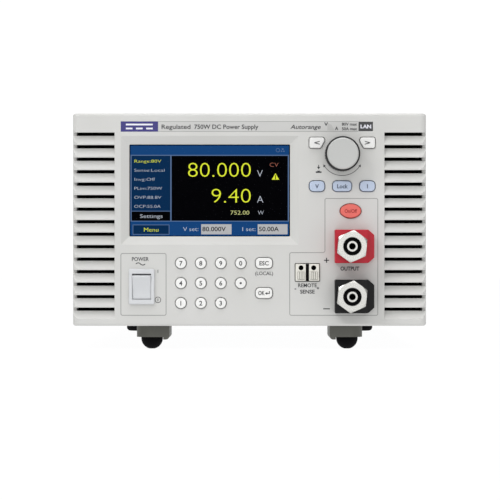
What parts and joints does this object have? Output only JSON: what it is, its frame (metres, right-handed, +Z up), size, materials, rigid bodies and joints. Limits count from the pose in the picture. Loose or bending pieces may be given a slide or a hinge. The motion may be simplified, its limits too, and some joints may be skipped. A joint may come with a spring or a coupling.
{
  "type": "bench power supply",
  "caption": "Half-rack programmable DC bench supply with display, keypad, push knob, mains rocker, 4 mm output terminals with clamp nuts, sense clamp and tilt legs.",
  "frame": {"origin": "on the bench, under the middle of the instrument's overall width and length", "axes": "+X to the user's right, +Y from the front panel to the rear, +Z up"},
  "size_m": [0.2154, 0.4166, 0.1423],
  "materials": {
    "panel_plastic": "fine matt texture",
    "cover_steel": "fine powder coat",
    "tray_steel": "zinc-plated steel",
    "screw_steel": "plated",
    "foot_plastic": "moulded",
    "foot_rubber": "matt",
    "window_clear": "clear, hard coated",
    "lcd_frame": "stamped frame",
    "board_green": "solder mask",
    "silicone": "translucent grey silicone",
    "key_white": "moulded, lightly textured",
    "key_blue": "moulded, lightly textured",
    "key_red": "moulded, lightly textured",
    "knob_black": "soft-touch",
    "knob_light": "satin",
    "turned_steel": "turned",
    "encoder_metal": "stamped",
    "sense_plastic": "moulded",
    "nickel": "nickel plated brass",
    "liner_black": "moulded",
    "shroud_red": "moulded",
    "shroud_black": "moulded",
    "fan_black": "moulded",
    "guard_wire": "plated wire",
    "inlet_black": "moulded",
    "connector_metal": "tinned shell",
    "heatsink_aluminium": "extruded",
    "ferrite": "sintered ferrite",
    "winding_tape": "polyester tape",
    "can_sleeve": "shrink sleeve",
    "copper": "bare copper strap",
    "rocker_grey": "light grey moulding"
  },
  "bodies": {
    "chassis": {"front_bezel": "panel_plastic", "base_tray": "tray_steel", "top_cover": "cover_steel", "rear_panel": "cover_steel", "case_screws": "screw_steel", "front_feet": "foot_plastic", "rubber_feet": "foot_rubber", "display_window": "window_clear", "lcd_module": "lcd_frame", "circuit_boards": "board_green", "key_mat": "silicone", "encoder_body": "encoder_metal", "rocker_housing": "rocker_grey", "sense_housing": "sense_plastic", "terminal_studs": "nickel", "socket_liners": "liner_black", "terminal_shroud_positive": "shroud_red", "terminal_shroud_negative": "shroud_black", "fan_frame": "fan_black", "fan_guard": "guard_wire", "mains_inlet": "inlet_black", "interface_connectors": "connector_metal", "heatsinks": "heatsink_aluminium", "transformer_core": "ferrite", "transformer_winding": "winding_tape", "bulk_capacitors": "can_sleeve", "output_busbars": "copper"},
    "button_7": {"key_7": "key_white"},
    "button_8": {"key_8": "key_white"},
    "button_9": {"key_9": "key_white"},
    "button_0": {"key_0": "key_white"},
    "button_4": {"key_4": "key_white"},
    "button_5": {"key_5": "key_white"},
    "button_6": {"key_6": "key_white"},
    "button_point": {"key_point": "key_white"},
    "button_1": {"key_1": "key_white"},
    "button_2": {"key_2": "key_white"},
    "button_3": {"key_3": "key_white"},
    "button_escape": {"key_escape": "key_white"},
    "button_ok": {"key_ok": "key_white"},
    "button_left": {"key_left": "key_white"},
    "button_right": {"key_right": "key_white"},
    "button_voltage": {"key_voltage": "key_blue"},
    "button_lock": {"key_lock": "key_blue"},
    "button_current": {"key_current": "key_blue"},
    "button_output": {"key_output": "key_red"},
    "knob_push": {"encoder_plunger": "encoder_metal"},
    "knob": {"encoder_shaft": "turned_steel", "knob_grip": "knob_black", "knob_cap": "knob_light"},
    "rocker": {"rocker_button": "rocker_grey"},
    "sense_lever_negative": {"sense_lever_negative": "sense_plastic"},
    "sense_lever_positive": {"sense_lever_positive": "sense_plastic"},
    "washer_positive": {"clamp_washer_positive": "nickel"},
    "nut_positive": {"terminal_nut_positive": "nickel"},
    "washer_negative": {"clamp_washer_negative": "nickel"},
    "nut_negative": {"terminal_nut_negative": "nickel"},
    "leg_right": {"tilt_leg_right": "foot_plastic"},
    "leg_left": {"tilt_leg_left": "foot_plastic"},
    "fan": {"fan_rotor": "fan_black"}
  },
  "joints": [
    {"name": "key_7_press", "type": "slide", "parent": "chassis", "child": "button_7", "axis": [0, 1, 0], "range_m": [0, 0.0008], "stiffness_N_per_m": 500, "springref_m": -0.0006},
    {"name": "key_8_press", "type": "slide", "parent": "chassis", "child": "button_8", "axis": [0, 1, 0], "range_m": [0, 0.0008], "stiffness_N_per_m": 500, "springref_m": -0.0006},
    {"name": "key_9_press", "type": "slide", "parent": "chassis", "child": "button_9", "axis": [0, 1, 0], "range_m": [0, 0.0008], "stiffness_N_per_m": 500, "springref_m": -0.0006},
    {"name": "key_0_press", "type": "slide", "parent": "chassis", "child": "button_0", "axis": [0, 1, 0], "range_m": [0, 0.0008], "stiffness_N_per_m": 500, "springref_m": -0.0006},
    {"name": "key_4_press", "type": "slide", "parent": "chassis", "child": "button_4", "axis": [0, 1, 0], "range_m": [0, 0.0008], "stiffness_N_per_m": 500, "springref_m": -0.0006},
    {"name": "key_5_press", "type": "slide", "parent": "chassis", "child": "button_5", "axis": [0, 1, 0], "range_m": [0, 0.0008], "stiffness_N_per_m": 500, "springref_m": -0.0006},
    {"name": "key_6_press", "type": "slide", "parent": "chassis", "child": "button_6", "axis": [0, 1, 0], "range_m": [0, 0.0008], "stiffness_N_per_m": 500, "springref_m": -0.0006},
    {"name": "key_point_press", "type": "slide", "parent": "chassis", "child": "button_point", "axis": [0, 1, 0], "range_m": [0, 0.0008], "stiffness_N_per_m": 500, "springref_m": -0.0006},
    {"name": "key_1_press", "type": "slide", "parent": "chassis", "child": "button_1", "axis": [0, 1, 0], "range_m": [0, 0.0008], "stiffness_N_per_m": 500, "springref_m": -0.0006},
    {"name": "key_2_press", "type": "slide", "parent": "chassis", "child": "button_2", "axis": [0, 1, 0], "range_m": [0, 0.0008], "stiffness_N_per_m": 500, "springref_m": -0.0006},
    {"name": "key_3_press", "type": "slide", "parent": "chassis", "child": "button_3", "axis": [0, 1, 0], "range_m": [0, 0.0008], "stiffness_N_per_m": 500, "springref_m": -0.0006},
    {"name": "key_escape_press", "type": "slide", "parent": "chassis", "child": "button_escape", "axis": [0, 1, 0], "range_m": [0, 0.0008], "stiffness_N_per_m": 500, "springref_m": -0.0006},
    {"name": "key_ok_press", "type": "slide", "parent": "chassis", "child": "button_ok", "axis": [0, 1, 0], "range_m": [0, 0.0008], "stiffness_N_per_m": 500, "springref_m": -0.0006},
    {"name": "key_left_press", "type": "slide", "parent": "chassis", "child": "button_left", "axis": [0, 1, 0], "range_m": [0, 0.0008], "stiffness_N_per_m": 500, "springref_m": -0.0006},
    {"name": "key_right_press", "type": "slide", "parent": "chassis", "child": "button_right", "axis": [0, 1, 0], "range_m": [0, 0.0008], "stiffness_N_per_m": 500, "springref_m": -0.0006},
    {"name": "key_voltage_press", "type": "slide", "parent": "chassis", "child": "button_voltage", "axis": [0, 1, 0], "range_m": [0, 0.0008], "stiffness_N_per_m": 500, "springref_m": -0.0006},
    {"name": "key_lock_press", "type": "slide", "parent": "chassis", "child": "button_lock", "axis": [0, 1, 0], "range_m": [0, 0.0008], "stiffness_N_per_m": 500, "springref_m": -0.0006},
    {"name": "key_current_press", "type": "slide", "parent": "chassis", "child": "button_current", "axis": [0, 1, 0], "range_m": [0, 0.0008], "stiffness_N_per_m": 500, "springref_m": -0.0006},
    {"name": "key_output_press", "type": "slide", "parent": "chassis", "child": "button_output", "axis": [0, 1, 0], "range_m": [0, 0.0008], "stiffness_N_per_m": 500, "springref_m": -0.0006},
    {"name": "knob_press", "type": "slide", "parent": "chassis", "child": "knob_push", "axis": [0, 1, 0], "range_m": [0, 0.0005], "stiffness_N_per_m": 800, "springref_m": -0.0008},
    {"name": "knob_turn", "type": "hinge", "parent": "knob_push", "child": "knob", "pos_m": [0.0557, -0.1867, 0.1176], "axis": [0, 1, 0], "continuous": true},
    {"name": "mains_switch", "type": "hinge", "parent": "chassis", "child": "rocker", "pos_m": [-0.0649, -0.1857, 0.038], "axis": [-1, 0, 0], "range_deg": [0, 22]},
    {"name": "sense_negative_press", "type": "slide", "parent": "chassis", "child": "sense_lever_negative", "axis": [0, 1, 0], "range_m": [0, 0.001], "stiffness_N_per_m": 800, "springref_m": -0.0005},
    {"name": "sense_positive_press", "type": "slide", "parent": "chassis", "child": "sense_lever_positive", "axis": [0, 1, 0], "range_m": [0, 0.001], "stiffness_N_per_m": 800, "springref_m": -0.0005},
    {"name": "clamp_positive_slide", "type": "slide", "parent": "chassis", "child": "washer_positive", "axis": [0, -1, 0], "range_m": [0, 0.0051]},
    {"name": "nut_positive_turn", "type": "hinge", "parent": "washer_positive", "child": "nut_positive", "pos_m": [0.061, -0.1987, 0.0622], "axis": [0, -1, 0], "range_deg": [0, 1440]},
    {"name": "clamp_negative_slide", "type": "slide", "parent": "chassis", "child": "washer_negative", "axis": [0, -1, 0], "range_m": [0, 0.0051]},
    {"name": "nut_negative_turn", "type": "hinge", "parent": "washer_negative", "child": "nut_negative", "pos_m": [0.061, -0.1987, 0.0322], "axis": [0, -1, 0], "range_deg": [0, 1440]},
    {"name": "tilt_leg_right_fold", "type": "hinge", "parent": "chassis", "child": "leg_right", "pos_m": [0.051, -0.1722, 0.0089], "axis": [-1, 0, 0], "range_deg": [0, 95]},
    {"name": "tilt_leg_left_fold", "type": "hinge", "parent": "chassis", "child": "leg_left", "pos_m": [-0.051, -0.1722, 0.0089], "axis": [-1, 0, 0], "range_deg": [0, 95]},
    {"name": "fan_spin", "type": "hinge", "parent": "chassis", "child": "fan", "pos_m": [0.046, 0.1883, 0.078], "axis": [0, 1, 0], "continuous": true}
  ],
  "couplings": [
    {"joint": "clamp_positive_slide", "follows": "nut_positive_turn", "m_per_rad": 0.00019894},
    {"joint": "clamp_negative_slide", "follows": "nut_negative_turn", "m_per_rad": 0.00019894}
  ]
}
